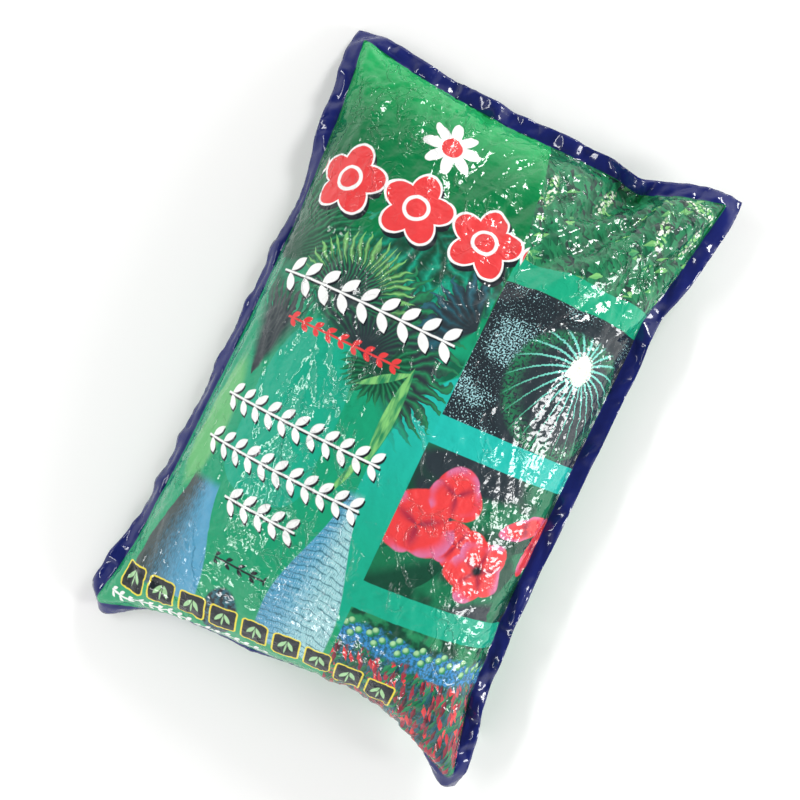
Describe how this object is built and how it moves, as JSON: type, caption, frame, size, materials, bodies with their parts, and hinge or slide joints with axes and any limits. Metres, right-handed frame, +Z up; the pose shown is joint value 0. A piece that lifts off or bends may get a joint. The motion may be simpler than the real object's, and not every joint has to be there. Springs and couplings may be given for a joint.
{
  "type": "compost bag",
  "caption": "Filled pillow pouch of glossy printed plastic film, heat-sealed on all four sides, lying on its back.",
  "frame": {"origin": "on the floor under the middle of the bag, at the bottom centre of its bounding box", "axes": "+Z up out of the printed front, +Y towards the head end of the bag, +X to the right seen from the front with the head end up"},
  "size_m": [0.284, 0.433, 0.0873],
  "materials": {
    "printed_film": "glossy printed plastic film, crinkled"
  },
  "bodies": {
    "root": {"compost_bag": "printed_film"}
  },
  "joints": []
}
